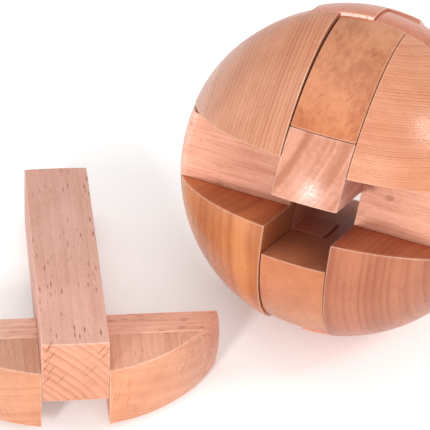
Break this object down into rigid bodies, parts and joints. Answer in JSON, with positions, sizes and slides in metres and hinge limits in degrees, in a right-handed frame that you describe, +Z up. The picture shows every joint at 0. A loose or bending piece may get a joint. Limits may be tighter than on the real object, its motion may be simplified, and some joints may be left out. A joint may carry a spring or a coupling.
{
  "type": "ball burr puzzle",
  "caption": "Wooden ball-shaped burr puzzle of interlocking notched sticks and glued blocks, with its winged key stick drawn out and laid beside it.",
  "frame": {"origin": "the point on the ground straight below the centre of the ball", "axes": "+Z up, +X to the right along the front and rear bars, +Y towards the back; the ball is rolled back about X so the key slot's front end looks forward and up"},
  "size_m": [0.1076, 0.1027, 0.07],
  "materials": {
    "beech_stick": "satin lacquer",
    "beech_block": "satin lacquer",
    "beech_strip": "satin lacquer"
  },
  "bodies": {
    "rear_frame": {"rear_bar": "beech_stick", "rear_bar_left_corner": "beech_block", "rear_bar_right_corner": "beech_block", "rear_bar_left_wing": "beech_block", "rear_bar_right_wing": "beech_block", "upper_bar": "beech_stick", "upper_bar_left_corner": "beech_block", "upper_bar_right_corner": "beech_block", "upper_bar_left_wing": "beech_block", "upper_bar_right_wing": "beech_block"},
    "front_bar": {"front_bar": "beech_stick", "front_bar_left_corner": "beech_block", "front_bar_right_corner": "beech_block", "front_bar_left_wing": "beech_block", "front_bar_right_wing": "beech_block"},
    "left_post": {"left_post": "beech_stick", "left_post_corner": "beech_block", "left_post_top_wing": "beech_block", "left_post_bottom_wing": "beech_block"},
    "right_post": {"right_post": "beech_stick", "right_post_corner": "beech_block", "right_post_top_wing": "beech_block", "right_post_bottom_wing": "beech_block"},
    "key": {"key_bar": "beech_stick", "key_left_strip": "beech_strip", "key_left_block": "beech_block", "key_right_strip": "beech_strip", "key_right_block": "beech_block"}
  },
  "joints": [
    {"name": "front_bar_drop", "type": "slide", "parent": "rear_frame", "child": "front_bar", "axis": [0, -0.4602, -0.8878], "range_m": [0, 0.005]},
    {"name": "left_post_rise", "type": "slide", "parent": "rear_frame", "child": "left_post", "axis": [0, 0.4602, 0.8878], "range_m": [-0.00075, 0.00625]},
    {"name": "right_post_rise", "type": "slide", "parent": "rear_frame", "child": "right_post", "axis": [0, 0.4602, 0.8878], "range_m": [0, 0.0135]},
    {"name": "key_lift", "type": "slide", "parent": "rear_frame", "child": "key", "axis": [-0.3015, -0.3015, 0.9045], "range_m": [0, 0.1]}
  ]
}
